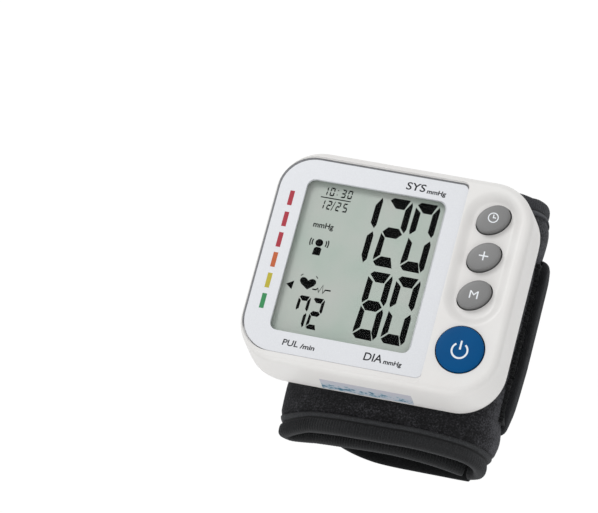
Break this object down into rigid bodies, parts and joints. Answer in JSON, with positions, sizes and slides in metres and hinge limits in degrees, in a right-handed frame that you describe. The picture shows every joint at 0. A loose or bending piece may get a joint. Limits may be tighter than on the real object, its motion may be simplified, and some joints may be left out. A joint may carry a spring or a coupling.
{
  "type": "wrist blood pressure monitor",
  "caption": "Rounded white wrist monitor with a large display, push buttons and a battery door, lying on its closed fabric cuff.",
  "frame": {"origin": "middle of the whole part's box, at the height of the surface that the closed cuff rests on", "axes": "+X from the display to the column of buttons, +Y up the display, +Z out of the display's face"},
  "size_m": [0.0766, 0.082, 0.0508],
  "materials": {
    "case_white": "satin",
    "panel_silver": "satin",
    "clear_window": "gloss",
    "display_glass": "satin",
    "dark_plastic": "matte",
    "contact_rubber": "matte",
    "circuit_board": "satin",
    "button_grey": "satin",
    "button_blue": "satin",
    "plated_metal": "satin",
    "cell_jacket": "gloss",
    "air_plastic": "satin",
    "air_hose": "matte",
    "spring_sheet": "satin",
    "bladder_film": "matte",
    "cuff_fabric": "matte",
    "binding_tape": "matte",
    "hook_tape": "matte",
    "label_film": "satin"
  },
  "bodies": {
    "monitor": {"front_cover": "case_white", "rear_cover": "case_white", "display_panel": "panel_silver", "window_pane": "clear_window", "lcd_glass": "display_glass", "lcd_holder": "dark_plastic", "contact_strip": "contact_rubber", "main_board": "circuit_board", "time_switch": "dark_plastic", "plus_switch": "dark_plastic", "memory_switch": "dark_plastic", "power_switch": "dark_plastic", "battery_tray": "dark_plastic", "cell_1": "cell_jacket", "cell_2": "cell_jacket", "cell_spring_1": "plated_metal", "cell_spring_2": "plated_metal", "spring_plate_1": "plated_metal", "spring_plate_2": "plated_metal", "pump_motor": "plated_metal", "pump_head": "air_plastic", "air_manifold": "air_plastic", "pump_hose": "air_hose", "air_valve": "plated_metal", "pressure_sensor": "dark_plastic", "buzzer": "dark_plastic", "case_screw_1": "plated_metal", "case_screw_2": "plated_metal", "case_screw_3": "plated_metal", "case_screw_4": "plated_metal", "cuff_band": "cuff_fabric", "front_binding": "binding_tape", "rear_binding": "binding_tape", "cuff_shaper": "spring_sheet", "air_bladder": "bladder_film", "air_nipple": "air_plastic", "cuff_screw_1": "plated_metal", "cuff_screw_2": "plated_metal", "cuff_screw_3": "plated_metal", "cuff_screw_4": "plated_metal", "strap_base": "cuff_fabric", "side_label": "label_film"},
    "time_key": {"time_button": "button_grey"},
    "plus_key": {"plus_button": "button_grey"},
    "memory_key": {"memory_button": "button_grey"},
    "power_key": {"power_button": "button_blue"},
    "door": {"battery_door": "case_white", "door_bridge": "plated_metal"},
    "tail": {"strap_tail": "cuff_fabric", "hook_tape": "hook_tape"}
  },
  "joints": [
    {"name": "time_press", "type": "slide", "parent": "monitor", "child": "time_key", "axis": [0, 0, -1], "range_m": [0, 0.0006], "stiffness_N_per_m": 800},
    {"name": "plus_press", "type": "slide", "parent": "monitor", "child": "plus_key", "axis": [0, 0, -1], "range_m": [0, 0.0006], "stiffness_N_per_m": 800},
    {"name": "memory_press", "type": "slide", "parent": "monitor", "child": "memory_key", "axis": [0, 0, -1], "range_m": [0, 0.0006], "stiffness_N_per_m": 800},
    {"name": "power_press", "type": "slide", "parent": "monitor", "child": "power_key", "axis": [0, 0, -1], "range_m": [0, 0.0006], "stiffness_N_per_m": 800},
    {"name": "door_slide", "type": "slide", "parent": "monitor", "child": "door", "axis": [0, 1, 0], "range_m": [0, 0.012]},
    {"name": "tail_hinge", "type": "hinge", "parent": "monitor", "child": "tail", "pos_m": [0.0303, 0, 0.0012], "axis": [0, 1, 0], "range_deg": [0, 30]}
  ]
}
